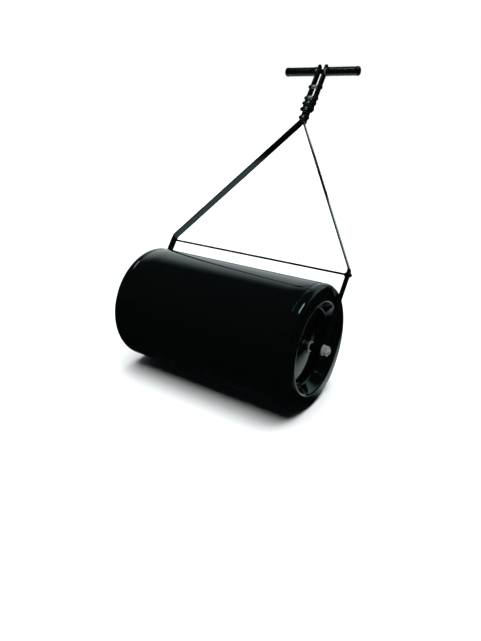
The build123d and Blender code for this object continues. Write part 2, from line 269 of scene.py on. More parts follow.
@dataclass(frozen=True)
class PlatedSteel:
    """Steel under a thin plate or oxide, clouded in colour, with fine scuffs from tumbling.

    Zinc with a clear passivate is a bright white metal, faintly blue and straw. Oiled black
    oxide is nearly black, and a little brown where it is thin.
    """

    name: str
    colour: str
    clouded: str
    cloud_mm: float
    cloud_detail: float
    scuff_mm: float
    scuff_depth_mm: float
    roughness: tuple[float, float]
    metallic: float

    def make(self) -> bpy.types.Material:
        """Build the material.

        Returns:
            The plated steel.
        """
        material, shader, place = new_finish(self.name)
        tree = material.node_tree
        shader.inputs["Metallic"].default_value = self.metallic
        cloud = add_node(
            tree,
            "ShaderNodeTexNoise",
            {"Vector": place, "Scale": per_metre(self.cloud_mm), "Detail": self.cloud_detail},
        )
        colour = add_node(
            tree,
            "ShaderNodeMix",
            {0: cloud.outputs["Fac"], 6: linear(self.colour), 7: linear(self.clouded)},
            data_type="RGBA",
        )
        scuff = add_node(
            tree,
            "ShaderNodeTexNoise",
            {"Vector": place, "Scale": per_metre(self.scuff_mm), "Detail": 4.0},
        )
        roughness = add_node(
            tree,
            "ShaderNodeMapRange",
            {
                "Value": scuff.outputs["Fac"],
                "From Min": NOISE_SPAN[0],
                "From Max": NOISE_SPAN[1],
                "To Min": self.roughness[0],
                "To Max": self.roughness[1],
            },
        )
        skin = add_node(
            tree,
            "ShaderNodeBump",
            {"Height": scuff.outputs["Fac"], "Distance": self.scuff_depth_mm * MM},
        )
        return coat(material, shader, colour, roughness, skin)


@dataclass(frozen=True)
class DrawnTube:
    """Cold drawn steel tube, oiled: grey metal with die lines along Y and darker oxide clouds."""

    name: str = "drawn_tube"
    bright: str = "#8b8d8c"
    oxide: str = "#4c4a47"
    line_mm: float = 0.5
    line_run: float = 60.0
    line_depth_mm: float = 0.03
    cloud_mm: float = 12.0
    roughness: tuple[float, float] = (0.3, 0.6)

    def make(self) -> bpy.types.Material:
        """Build the material.

        Returns:
            The tube's steel.
        """
        material, shader, place = new_finish(self.name)
        tree = material.node_tree
        shader.inputs["Metallic"].default_value = 1.0
        cloud = add_node(
            tree,
            "ShaderNodeTexNoise",
            {"Vector": place, "Scale": per_metre(self.cloud_mm), "Detail": 4.0},
        )
        colour = add_node(
            tree,
            "ShaderNodeMix",
            {0: cloud.outputs["Fac"], 6: linear(self.bright), 7: linear(self.oxide)},
            data_type="RGBA",
        )
        along = add_node(
            tree, "ShaderNodeMapping", {"Vector": place, "Scale": (1.0, 1.0 / self.line_run, 1.0)}
        )
        lines = add_node(
            tree,
            "ShaderNodeTexNoise",
            {"Vector": along.outputs[0], "Scale": per_metre(self.line_mm), "Detail": 2.0},
        )
        roughness = add_node(
            tree,
            "ShaderNodeMapRange",
            {
                "Value": lines.outputs["Fac"],
                "To Min": self.roughness[0],
                "To Max": self.roughness[1],
            },
        )
        skin = add_node(
            tree,
            "ShaderNodeBump",
            {"Height": lines.outputs["Fac"], "Distance": self.line_depth_mm * MM},
        )
        return coat(material, shader, colour, roughness, skin)


@dataclass(frozen=True)
class Moulded:
    """Black rubber or plastic from a mould: the mould's spark grain dulls the highlight."""

    name: str
    colour: str
    bloom: str
    roughness: float
    grain_mm: float
    grain_depth_mm: float
    ior: float = 1.5
    patch_mm: float = 18.0
    dulling: float = 0.14

    def make(self) -> bpy.types.Material:
        """Build the material.

        Returns:
            The moulded skin.
        """
        material, shader, place = new_finish(self.name)
        tree = material.node_tree
        shader.inputs["IOR"].default_value = self.ior
        patch = add_node(
            tree,
            "ShaderNodeTexNoise",
            {"Vector": place, "Scale": per_metre(self.patch_mm), "Detail": 4.0},
        )
        colour = add_node(
            tree,
            "ShaderNodeMix",
            {0: patch.outputs["Fac"], 6: linear(self.colour), 7: linear(self.bloom)},
            data_type="RGBA",
        )
        roughness = add_node(
            tree,
            "ShaderNodeMapRange",
            {
                "Value": patch.outputs["Fac"],
                "From Min": NOISE_SPAN[0],
                "From Max": NOISE_SPAN[1],
                "To Min": self.roughness,
                "To Max": self.roughness + self.dulling,
            },
        )
        grain = add_node(
            tree,
            "ShaderNodeTexVoronoi",
            {"Vector": place, "Scale": per_metre(self.grain_mm)},
        )
        skin = add_node(
            tree,
            "ShaderNodeBump",
            {"Height": grain.outputs["Distance"], "Distance": self.grain_depth_mm * MM},
        )
        return coat(material, shader, colour, roughness, skin)


class Finishes:
    """Every finish on the roller, made once, and the record's slot that each one fills."""

    def __init__(self) -> None:
        """Build the materials."""
        self.drum = StovedEnamel(
            name="drum_gloss",
            pigment="#030404",
            cloud="#050606",
            roughness=0.035,
            haze=0.05,
            peel_mm=2.4,
            peel_depth_mm=0.004,
            wave_mm=60.0,
            wave_depth_mm=0.22,
            wave_stretch=(1.0, 3.0, 1.0),
        ).make()
        self.bead = StovedEnamel(
            name="bead_gloss",
            pigment="#030404",
            cloud="#060707",
            roughness=0.09,
            haze=0.08,
            peel_mm=1.6,
            peel_depth_mm=0.02,
            wave_mm=9.0,
            wave_depth_mm=0.08,
        ).make()
        self.bar = StovedEnamel(
            name="bar_gloss",
            pigment="#030404",
            cloud="#050606",
            roughness=0.06,
            haze=0.08,
            peel_mm=1.8,
            peel_depth_mm=0.006,
            wave_mm=24.0,
            wave_depth_mm=0.04,
        ).make()
        self.zinc = PlatedSteel(
            name="zinc_plate",
            colour="#cdd5da",
            clouded="#d9d6c8",
            cloud_mm=7.0,
            cloud_detail=2.0,
            scuff_mm=1.1,
            scuff_depth_mm=0.02,
            roughness=(0.2, 0.42),
            metallic=0.74,
        ).make()
        self.black = PlatedSteel(
            name="black_oxide",
            colour="#141516",
            clouded="#211f1d",
            cloud_mm=0.9,
            cloud_detail=4.0,
            scuff_mm=0.9,
            scuff_depth_mm=0.015,
            roughness=(0.26, 0.42),
            metallic=0.8,
        ).make()
        self.tube = DrawnTube().make()
        self.grip, self.gasket, self.nylon, self.plug = [
            Moulded(name, colour, bloom, roughness, grain_mm, grain_depth_mm, ior).make()
            for name, colour, bloom, roughness, grain_mm, grain_depth_mm, ior in (
                ("grip_rubber", "#040405", "#07080a", 0.14, 1.6, 0.002, 1.5),
                ("gasket_rubber", "#0a0a0b", "#151516", 0.55, 0.7, 0.03, 1.52),
                ("bush_nylon", "#0f1011", "#18191a", 0.38, 0.8, 0.02, 1.53),
                ("plug_plastic", "#0b0c0d", "#141516", 0.36, 0.8, 0.03, 1.49),
            )
        ]
        self.by_slot = {
            "drum_enamel": self.drum,
            "frame_enamel": self.bar,
            "zinc_plate": self.zinc,
            "black_oxide": self.black,
            "tube_steel": self.tube,
            "grip_rubber": self.grip,
            "gasket_rubber": self.gasket,
            "bush_nylon": self.nylon,
            "plug_plastic": self.plug,
        }

    def dress_cad(self) -> None:
        """Give each CAD node the finish of its slot."""
        for name, node in frame["nodes"].items():
            for place in node.material_slots:
                place.material = self.by_slot[place.material.name]
            log.info("%s: %s", name, node.material_slots[0].material.name)


# ------------------------------------------------------------------ shop tools


def deselect() -> None:
    """Deselect every object."""
    bpy.ops.object.select_all(action="DESELECT")


def take(piece: bpy.types.Object) -> None:
    """Select one object alone and make it the active one."""
    deselect()
    piece.select_set(True)
    bpy.context.view_layer.objects.active = piece


def start_point(name: str, at: Vector) -> bpy.types.Object:
    """Begin a mesh as one selected point, in edit mode.

    Args:
        name: the new object's name.
        at: where the point is.

    Returns:
        The new object.
    """
    deselect()
    bpy.ops.mesh.primitive_plane_add(size=2 * MM, location=(0.0, 0.0, 0.0))
    piece = bpy.context.object
    piece.name = name
    piece.data.name = name
    bpy.ops.object.mode_set(mode="EDIT")
    bpy.ops.mesh.select_all(action="SELECT")
    bpy.ops.mesh.merge(type="CENTER")
    bpy.ops.transform.translate(value=at)
    return piece


def trail(points: Sequence[Vector]) -> None:
    """Extrude the selected point through the rest of an outline, then select all of it."""
    for here, there in zip(points, points[1:]):
        bpy.ops.mesh.extrude_region_move(TRANSFORM_OT_translate={"value": there - here})
    bpy.ops.mesh.select_all(action="SELECT")
    bpy.ops.mesh.remove_doubles(threshold=WELD_GAP)


def settle(piece: bpy.types.Object, crease: float = 32.0) -> bpy.types.Object:
    """Leave edit mode, put the object's place into its mesh and shade it.

    Args:
        piece: the object, in edit or object mode.
        crease: edges that turn by more degrees than this stay sharp.

    Returns:
        The same object.
    """
    if bpy.context.mode != "OBJECT":
        bpy.ops.object.mode_set(mode="OBJECT")
    take(piece)
    bpy.ops.object.transform_apply(location=True, rotation=True, scale=True)
    bpy.ops.object.shade_smooth_by_angle(angle=math.radians(crease))
    return piece


def face_outwards(piece: bpy.types.Object, centre: Vector) -> None:
    """Turn a turned skin's faces away from its axis, judged at its widest face.

    Args:
        piece: the object, in edit mode.
        centre: a point on its axis.
    """
    bpy.ops.mesh.select_all(action="SELECT")
    bpy.ops.mesh.normals_make_consistent(inside=False)
    bpy.ops.object.mode_set(mode="OBJECT")
    flat_to_axis = Vector((1.0, 0.0, 1.0))
    widest = max(piece.data.polygons, key=lambda f: ((f.center - centre) * flat_to_axis).length)
    inside_out = widest.normal.dot((widest.center - centre) * flat_to_axis) < 0
    bpy.ops.object.mode_set(mode="EDIT")
    if inside_out:
        bpy.ops.mesh.select_all(action="SELECT")
        bpy.ops.mesh.flip_normals()


def rounded(
    corners: Sequence[tuple[float, float]], radii: Sequence[float], steps: int = 6
) -> list[tuple[float, float]]:
    """Round the corners of an open outline.

    Args:
        corners: the outline's corners.
        radii: one radius for each inner corner, 0 for a sharp one.
        steps: edges along each round.

    Returns:
        The rounded outline's points.
    """
    points = [Vector(corners[0])]
    for before, here, after, radius in zip(corners, corners[1:], corners[2:], radii):
        corner = Vector(here)
        if radius <= 0:
            points.append(corner)
            continue
        back = (Vector(before) - corner).normalized()
        ahead = (Vector(after) - corner).normalized()
        half = back.angle(ahead) / 2
        middle = corner + (back + ahead).normalized() * (radius / math.sin(half))
        first = corner + back * (radius / math.tan(half)) - middle
        last = corner + ahead * (radius / math.tan(half)) - middle
        sweep = math.pi - 2 * half
        for k in range(steps + 1):
            part = sweep * k / steps
            spoke = first * math.sin(sweep - part) + last * math.sin(part)
            points.append(middle + spoke / math.sin(sweep))
    points.append(Vector(corners[-1]))
    return [tuple(p) for p in points]


def turn(
    name: str,
    outline: Sequence[tuple[float, float]],
    centre: Vector,
    segments: int,
    side: Side = Side.LEFT,
    wall: float = 0.0,
    crease: float = 32.0,
) -> bpy.types.Object:
    """Turn an outline about a line along Y, as on a lathe.

    Args:
        name: the new object's name.
        outline: (radius, distance along Y) in millimetres.
        centre: a point on the axis, in metres.
        segments: faces round the turn.
        side: RIGHT turns the outline's Y over.
        wall: thickness of the sheet under the turned skin, in millimetres, 0 for a solid.
        crease: edges that turn by more degrees than this stay sharp.

    Returns:
        The new object.
    """
    points = [
        Vector((centre.x + r * MM, centre.y + side.value * y * MM, centre.z)) for r, y in outline
    ]
    piece = start_point(name, points[0])
    trail(points)
    bpy.ops.mesh.spin(
        steps=segments, angle=math.tau, center=centre, axis=(0.0, 1.0, 0.0), use_auto_merge=True
    )
    bpy.ops.mesh.select_all(action="SELECT")
    bpy.ops.mesh.remove_doubles(threshold=WELD_GAP)
    face_outwards(piece, centre)
    bpy.ops.object.mode_set(mode="OBJECT")
    if wall:
        take(piece)
        sheet = piece.modifiers.new("wall", "SOLIDIFY")
        sheet.thickness = wall * MM
        sheet.offset = -1.0
        bpy.ops.object.modifier_apply(modifier=sheet.name)
    return settle(piece, crease)


@dataclass(frozen=True)
class Bead:
    """A fillet weld laid round a turned joint: overlapping ripples a few millimetres apart."""

    name: str
    radius: float
    thickness: float
    ripple: float
    pitch: float = 2.4
    rings_in_ripple: int = 4

    def lay(self, centre: Vector) -> bpy.types.Object:
        """Lay the bead round a line along Y.

        Args:
            centre: the middle of the bead's circle, in metres.

        Returns:
            The bead.
        """
        ripples = round(math.tau * self.radius / self.pitch)
        rings = ripples * self.rings_in_ripple
        deselect()
        bpy.ops.mesh.primitive_torus_add(
            major_radius=self.radius * MM,
            minor_radius=self.thickness * MM,
            major_segments=rings,
            minor_segments=8,
            location=centre,
            rotation=(math.pi / 2, 0.0, 0.0),
        )
        piece = bpy.context.object
        piece.name = self.name
        piece.data.name = self.name
        bpy.ops.object.transform_apply(location=True, rotation=True, scale=True)
        for part in range(1, self.rings_in_ripple):
            for point in piece.data.vertices:
                arm = point.co - centre
                ring = round(math.atan2(arm.z, arm.x) / math.tau * rings)
                point.select = ring % self.rings_in_ripple == part
            bpy.ops.object.mode_set(mode="EDIT")
            sunk = self.ripple * part / (self.rings_in_ripple - 1)
            bpy.ops.transform.shrink_fatten(value=-sunk * MM)
            bpy.ops.object.mode_set(mode="OBJECT")
        return settle(piece, 60.0)


@dataclass(frozen=True)
class Thread:
    """A rolled screw thread along Y: one helical ridge with its crest at a radius."""

    radius: float
    pitch: float
    depth_share: float = 0.6
    ridge_share: float = 0.92
    crest_share: float = 0.06
    around: int = 28

    @property
    def root(self) -> float:
        """Radius at the bottom of the thread."""
        return self.radius - self.depth_share * self.pitch

    def cut(self, name: str, axis_at: Vector, start: float, length: float) -> bpy.types.Object:
        """Wind the ridge.

        Args:
            name: the new object's name.
            axis_at: the point on the axis that start is measured from, in metres.
            start: where the thread begins along Y, in millimetres.
            length: how far it runs towards +Y, in millimetres.

        Returns:
            The ridge, which stands on a core a little wider than its root.
        """
        flank = self.pitch / 2 * self.ridge_share
        crest = self.pitch * self.crest_share
        outline = [
            Vector((self.root * MM, 0.0, 0.0)),
            Vector((self.radius * MM, (flank - crest) * MM, 0.0)),
            Vector((self.radius * MM, (flank + crest) * MM, 0.0)),
            Vector((self.root * MM, 2 * flank * MM, 0.0)),
        ]
        piece = start_point(name, outline[0])
        trail([*outline, outline[0]])
        bpy.ops.object.mode_set(mode="OBJECT")
        take(piece)
        winding = piece.modifiers.new("winding", "SCREW")
        winding.axis = "Y"
        winding.screw_offset = self.pitch * MM
        winding.iterations = max(1, int(length / self.pitch) - 1)
        winding.steps = self.around
        winding.render_steps = self.around
        winding.use_merge_vertices = False
        bpy.ops.object.modifier_apply(modifier=winding.name)
        bpy.ops.object.mode_set(mode="EDIT")
        bpy.ops.mesh.select_all(action="SELECT")
        bpy.ops.mesh.fill_holes(sides=4)
        bpy.ops.mesh.select_all(action="SELECT")
        bpy.ops.mesh.normals_make_consistent(inside=False)
        bpy.ops.transform.translate(value=axis_at + Vector((0.0, start * MM, 0.0)))
        return settle(piece, 50.0)


def join(first: bpy.types.Object, *others: bpy.types.Object) -> bpy.types.Object:
    """Join other meshes into the first one and return it."""
    take(first)
    for other in others:
        other.select_set(True)
    bpy.ops.object.join()
    return first


def hand_over(
    piece: bpy.types.Object,
    body: str,
    finish: bpy.types.Material,
    replaced: Sequence[str] = (),
) -> None:
    """Dress a finished piece and fix it to its body.

    Args:
        piece: the finished piece.
        body: the CAD body that it moves with.
        finish: its material.
        replaced: the CAD nodes that it stands for.
    """
    piece.data.materials.clear()
    piece.data.materials.append(finish)
    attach(piece, body)
    if replaced:
        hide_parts(*replaced)
    log.info("%s: %d faces, rides on %s", piece.name, len(piece.data.polygons), body)


# ------------------------------------------------------------------ the drum


@dataclass
class Drum:
    """The water drum: a rolled barrel lapped over two dished heads and welded to them."""

    finishes: Finishes
    wall: float = 2.0
    step_round: float = 2.2
    shoulder: float = 20.0
    rim_band: float = 47.8
    recess_depth: float = 38.0
    recess_draft: float = 18.0
    mouth_round: float = 10.0
    floor_round: float = 12.0
    floor_dome: float = 4.0
    hub_land: float = 10.0
    groove: float = 1.0
    edge_ease: float = 0.5
    edge_strip: float = 1.0
    seam_bead: float = 1.15
    seam_sunk: float = 0.25
    seam_offset: float = 0.6
    hub_bead: float = 1.8
    hub_offset: float = 0.6
    boss_bead: float = 1.9
    boss_offset: float = 0.7
    boss_overlap: float = 0.5
    punch_length: float = 60.0
    segments: int = 288
    rings_along: int = 12

    def __post_init__(self) -> None:
        """Take the sizes that the CAD nodes give."""
        low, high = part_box("drum_head_left")
        self.centre = Vector((0.0, 0.0, (low.z + high.z) / 2))
        self.radius = (high.z - low.z) / 2 / MM
        self.rim = high.y / MM
        self.lap_end = low.y / MM
        self.barrel_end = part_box("drum_shell")[1].y / MM
        self.tube_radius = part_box("axle_tube")[1].x / MM
        boss_low, boss_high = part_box("fill_boss")
        self.boss_centre = (boss_low + boss_high) / 2
        self.boss_radius = (boss_high.x - boss_low.x) / 2 / MM
        self.groove_end = self.barrel_end + self.groove

    def build(self) -> None:
        """Build every piece of the drum."""
        self.make_barrel()
        for side in Side:
            self.make_head(side)
            self.make_seam(side)
            self.make_hub_weld(side)
        self.make_barrel_weld()
        self.make_boss_weld()

    def make_barrel(self) -> None:
        """Roll the barrel: a plain sheet with its edges eased."""
        edge = [(self.radius - self.edge_strip, self.barrel_end), (self.radius, self.barrel_end)]
        edge = rounded([*edge, (self.radius, 0.0)], [self.edge_ease], 3)[:-1]
        length = self.barrel_end - self.edge_ease
        middle = [
            (self.radius, length * (1 - 2 * k / self.rings_along))
            for k in range(1, self.rings_along)
        ]
        outline = [*edge, *middle, *[(r, -y) for r, y in reversed(edge)]]
        barrel = turn("barrel", outline, self.centre, self.segments, wall=self.wall)
        hand_over(barrel, "drum", self.finishes.drum, ["drum_shell"])

    def make_head(self, side: Side) -> None:
        """Press one head: skirt, step, rolled shoulder, recess and domed floor.

        Args:
            side: which end of the drum.
        """
        floor = self.rim - self.recess_depth
        hub_face = floor + self.floor_dome
        mouth = self.radius - self.rim_band
        skirt = self.radius - self.wall
        corners = [
            (skirt, self.lap_end),
            (skirt, self.groove_end),
            (self.radius, self.groove_end + self.wall),
            (self.radius, self.rim),
            (mouth, self.rim),
            (mouth - self.recess_draft, floor),
            (self.tube_radius + self.hub_land, hub_face),
            (self.tube_radius, hub_face),
        ]
        rounds = [
            self.step_round,
            self.step_round,
            self.shoulder,
            self.mouth_round,
            self.floor_round,
            self.hub_land / 2,
        ]
        outline = rounded(corners, rounds, 10)
        head = turn(
            side.named("dished_head"), outline, self.centre, self.segments, side, self.wall
        )
        if side is Side.RIGHT:
            self.pierce(head)
        hand_over(head, "drum", self.finishes.drum, [side.named("drum_head")])

    def pierce(self, head: bpy.types.Object) -> None:
        """Cut the filler boss's hole in a head.

        Args:
            head: the right head.
        """
        deselect()
        bpy.ops.mesh.primitive_cylinder_add(
            vertices=96,
            radius=(self.boss_radius - self.boss_overlap) * MM,
            depth=self.punch_length * MM,
            location=self.boss_centre,
            rotation=(math.pi / 2, 0.0, 0.0),
        )
        punch = bpy.context.object
        take(head)
        hole = head.modifiers.new("filler_hole", "BOOLEAN")
        hole.operation = "DIFFERENCE"
        hole.solver = "EXACT"
        hole.object = punch
        bpy.ops.object.modifier_apply(modifier=hole.name)
        bpy.data.objects.remove(punch)
        settle(head)

    def make_seam(self, side: Side) -> None:
        """Run the weld round the groove between the barrel and a head.

        Args:
            side: which end of the drum.
        """
        along = side.value * (self.barrel_end + self.seam_offset)
        place = self.centre + Vector((0.0, along * MM, 0.0))
        radius = self.radius - self.seam_bead - self.seam_sunk
        seam = Bead(side.named("seam_weld"), radius, self.seam_bead, ripple=0.3).lay(place)
        hand_over(seam, "drum", self.finishes.bead)

    def make_hub_weld(self, side: Side) -> None:
        """Run the weld between a head and the axle tube.

        Args:
            side: which end of the drum.
        """
        face = self.rim - self.recess_depth + self.floor_dome
        place = self.centre + Vector((0.0, side.value * face * MM, 0.0))
        radius = self.tube_radius + self.hub_offset
        weld = Bead(side.named("hub_weld"), radius, self.hub_bead, ripple=0.35).lay(place)
        hand_over(weld, "drum", self.finishes.bead)

    def make_boss_weld(self) -> None:
        """Run the weld round the filler boss."""
        reach = (self.boss_centre - self.centre) * Vector((1.0, 0.0, 1.0))
        inner = self.tube_radius + self.hub_land
        outer = self.radius - self.rim_band - self.recess_draft
        rise = self.floor_dome * (outer - reach.length / MM) / (outer - inner)
        floor = self.rim - self.recess_depth + rise
        place = Vector((self.boss_centre.x, -floor * MM, self.boss_centre.z))
        radius = self.boss_radius + self.boss_offset
        weld = Bead("boss_weld", radius, self.boss_bead, ripple=0.4).lay(place)
        hand_over(weld, "drum", self.finishes.bead)

    def make_barrel_weld(self) -> None:
        """Run the flat butt weld along the barrel, low at the back."""
        pitch, half_width, proud, turned_back = 2.2, 2.6, 0.45, math.radians(40)
        # one ripple: how far along it each ring stands, and the ring's size
        rings = [(0.0, 1.0), (0.45, 0.96), (0.85, 0.84), (0.97, 0.8), (1.0, 1.0)]
        deselect()
        bpy.ops.mesh.primitive_circle_add(
            vertices=12, radius=half_width * MM, rotation=(math.pi / 2, 0.0, 0.0)
        )
        weld = bpy.context.object
        weld.name = "barrel_weld"
        weld.data.name = "barrel_weld"
        bpy.ops.object.transform_apply(location=True, rotation=True, scale=True)
        bpy.ops.object.mode_set(mode="EDIT")
        bpy.ops.mesh.select_all(action="SELECT")
        bpy.ops.transform.resize(value=(1.0, 1.0, proud / half_width))
        for (start, size), (end, next_size) in zip(rings, rings[1:]):
            bpy.ops.mesh.extrude_region_move(
                TRANSFORM_OT_translate={"value": (0.0, (end - start) * pitch * MM, 0.0)}
            )
            bpy.ops.transform.resize(value=(next_size / size, 1.0, next_size / size))
        bpy.ops.object.mode_set(mode="OBJECT")
        take(weld)
        run = weld.modifiers.new("run", "ARRAY")
        run.use_relative_offset = False
        run.use_constant_offset = True
        run.constant_offset_displace = (0.0, pitch * MM, 0.0)
        ripples = int(2 * (self.barrel_end - self.edge_strip) / pitch)
        run.count = ripples
        run.use_merge_vertices = True
        run.merge_threshold = 0.01 * MM
        bpy.ops.object.modifier_apply(modifier=run.name)
        bpy.ops.object.mode_set(mode="EDIT")
        bpy.ops.mesh.select_all(action="SELECT")
        bpy.ops.mesh.fill_holes(sides=0)
        bpy.ops.mesh.select_all(action="SELECT")
        bpy.ops.mesh.normals_make_consistent(inside=False)
        bpy.ops.object.mode_set(mode="OBJECT")
        low = Vector((-math.sin(turned_back), 0.0, -math.cos(turned_back)))
        weld.rotation_euler = (0.0, turned_back, 0.0)
        weld.location = self.centre + low * self.radius * MM
        weld.location.y = -ripples * pitch / 2 * MM
        settle(weld, 60.0)
        hand_over(weld, "drum", self.finishes.bead)


@dataclass
class FillerPlug:
    """The moulded filler plug: threaded shank, flange and a hexagon."""

    finishes: Finishes
    pitch: float = 2.309
    flange: float = 4.0
    hexagon: float = 30.0
    shank: float = 14.0
    chamfer: float = 1.2
    bore: float = 33.25
    thread_fit: float = 0.3
    thread_start: float = 1.2
    thread_short: float = 2.0
    hollow: float = 7.0
    hollow_draft: float = 0.8

    def __post_init__(self) -> None:
        """Take the place and the height from the CAD plug."""
        low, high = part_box("fill_plug")
        self.middle = Vector(((low.x + high.x) / 2, 0.0, (low.z + high.z) / 2))
        self.radius = (high.x - low.x) / 2 / MM
        self.top = -low.y / MM
        self.bottom = -high.y / MM

    def build(self) -> None:
        """Mould the plug."""
        crest = self.bore / 2 - self.thread_fit
        screw = Thread(crest, self.pitch)
        seat = self.bottom + self.shank
        corners = [
            (0.0, self.bottom),
            (screw.root, self.bottom),
            (screw.root, seat),
            (self.radius, seat),
            (self.radius, seat + self.flange),
            (0.0, seat + self.flange),
        ]
        outline = rounded(corners, [self.chamfer, 0.6, 0.8, 0.8], 4)
        plug = turn("filler_plug", outline, self.middle, 96, Side.RIGHT)
        length = self.shank - self.thread_short
        thread = screw.cut("plug_thread", self.middle, -seat + self.thread_start, length)
        join(plug, self.make_hexagon(seat + self.flange), thread)
        settle(plug)
        hand_over(plug, "plug", self.finishes.plug, ["fill_plug"])

    def make_hexagon(self, base: float) -> bpy.types.Object:
        """Mould the hexagon with its drawn edges and the hollow in its top.

        Args:
            base: the flange's face, as a distance from the middle of the roller.

        Returns:
            The hexagon.
        """
        height = self.top - base
        deselect()
        bpy.ops.mesh.primitive_cylinder_add(
            vertices=6,
            radius=self.hexagon / math.sqrt(3) * MM,
            depth=height * MM,
            location=self.middle - Vector((0.0, (base + height / 2) * MM, 0.0)),
            rotation=(math.pi / 2, 0.0, 0.0),
        )
        head = bpy.context.object
        bpy.ops.object.transform_apply(location=True, rotation=True, scale=True)
        for face in head.data.polygons:
            face.select = face.normal.y < -0.5
        bpy.ops.object.mode_set(mode="EDIT")
        bpy.context.tool_settings.mesh_select_mode = (False, False, True)
        bpy.ops.mesh.inset(thickness=self.chamfer * MM * 2)
        bpy.ops.mesh.inset(thickness=self.hollow_draft * MM, depth=-self.hollow * MM)
        bpy.context.tool_settings.mesh_select_mode = (True, False, False)
        bpy.ops.object.mode_set(mode="OBJECT")
        take(head)
        eased = head.modifiers.new("eased", "BEVEL")
        eased.width = self.chamfer * 0.5 * MM
        eased.segments = 3
        eased.limit_method = "ANGLE"
        bpy.ops.object.modifier_apply(modifier=eased.name)
        return head


# ------------------------------------------------------------------ the frame


@dataclass(frozen=True)
class Rod:
    """A plain rod along Y with a rolled thread at each end."""

    name: str
    node: str
    pitch: float
    thread_from: float
    chamfer: float
    slot: str
    segments: int = 64

    def build(self, finish: bpy.types.Material) -> None:
        """Turn the rod and wind its threads.

        Args:
            finish: the rod's material.
        """
        low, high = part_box(self.node)
        centre = Vector(((low.x + high.x) / 2, 0.0, (low.z + high.z) / 2))
        radius = (high.x - low.x) / 2 / MM
        end = high.y / MM
        screw = Thread(radius, self.pitch)
        half = [
            (radius, self.thread_from - self.pitch / 2),
            (screw.root, self.thread_from),
            (screw.root, end - self.chamfer),
            (screw.root - self.chamfer, end),
            (0.0, end),
        ]
        outline = [*[(r, -y) for r, y in reversed(half)], *half]
        rod = turn(self.name, outline, centre, self.segments)
        length = end - self.thread_from - self.chamfer
        far = screw.cut(f"{self.name}_far", centre, self.thread_from, length)
        near = screw.cut(f"{self.name}_near", centre, -self.thread_from - length, length)
        join(rod, far, near)
        hand_over(rod, "frame", finish, [self.node])


@dataclass
class Grip:
    """A moulded rubber grip: a flange, a run of finger rings and a blind, rounded end."""

    finishes: Finishes
    side: Side
    body_radius: float = 14.3
    flange: float = 3.2
    ring_pitch: float = 4.2
    ring_depth: float = 0.9
    plain_ends: float = 13.0
    bar_radius: float = 7.95
    end_bulge: float = 0.5
    end_round: float = 5.5
    vent_radius: float = 1.6
    vent_depth: float = 2.5
    segments: int = 72

    def build(self) -> None:
        """Turn the grip over its CAD solid."""
        low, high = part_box(self.side.named("grip"))
        centre = Vector(((low.x + high.x) / 2, 0.0, (low.z + high.z) / 2))
        reach = [abs(low.y) / MM, abs(high.y) / MM]
        start, end = min(reach), max(reach)
        widest = (high.x - low.x) / 2 / MM
        outline = [
            *rounded(
                [
                    (self.bar_radius, start),
                    (widest, start),
                    (widest, start + self.flange),
                    (self.body_radius, start + self.flange + 0.8),
                    (self.body_radius, start + self.plain_ends),
                ],
                [1.0, 1.0, 0.6],
                4,
            )[:-1],
            *self.rings(start + self.plain_ends, end - self.plain_ends),
            *rounded(
                [
                    (self.body_radius, end - self.plain_ends),
                    (self.body_radius + self.end_bulge, end - self.plain_ends + 2.0),
                    (self.body_radius + self.end_bulge, end),
                    (self.vent_radius, end),
                    (self.vent_radius, end - self.vent_depth),
                    (0.0, end - self.vent_depth),
                ],
                [2.0, self.end_round, 0.4, 0.0],
                6,
            )[1:],
        ]
        grip = turn(self.side.named("hand_grip"), outline, centre, self.segments, self.side)
        hand_over(grip, "frame", self.finishes.grip, [self.side.named("grip")])

    def rings(self, start: float, end: float) -> list[tuple[float, float]]:
        """Outline of the finger rings: shallow hollows between rounded crests.

        Args:
            start: where the rings begin along Y.
            end: where they stop.

        Returns:
            The outline's points.
        """
        count = round((end - start) / self.ring_pitch)
        pitch = (end - start) / count
        steps, fullness = 8, 0.8
        outline = []
        for k in range(count * steps + 1):
            hollow = (1 - abs(math.cos(math.pi * k / steps))) ** fullness
            outline.append((self.body_radius - self.ring_depth * hollow, start + pitch * k / steps))
        return outline


# ------------------------------------------------------------------ the studio


@dataclass(frozen=True)
class Softbox:
    """A rectangular lamp that looks at the roller."""

    name: str
    place: tuple[float, float, float]
    target: tuple[float, float, float]
    size: tuple[float, float]
    watts: float

    def hang(self) -> bpy.types.Object:
        """Hang the lamp.

        Returns:
            The lamp.
        """
        data = bpy.data.lights.new(self.name, "AREA")
        data.shape = "RECTANGLE"
        data.size, data.size_y = self.size
        data.energy = self.watts
        lamp = bpy.data.objects.new(self.name, data)
        bpy.context.scene.collection.objects.link(lamp)
        lamp.location = self.place
        look = Vector(self.target) - Vector(self.place)
        lamp.rotation_euler = look.to_track_quat("-Z", "Y").to_euler()
        return lamp


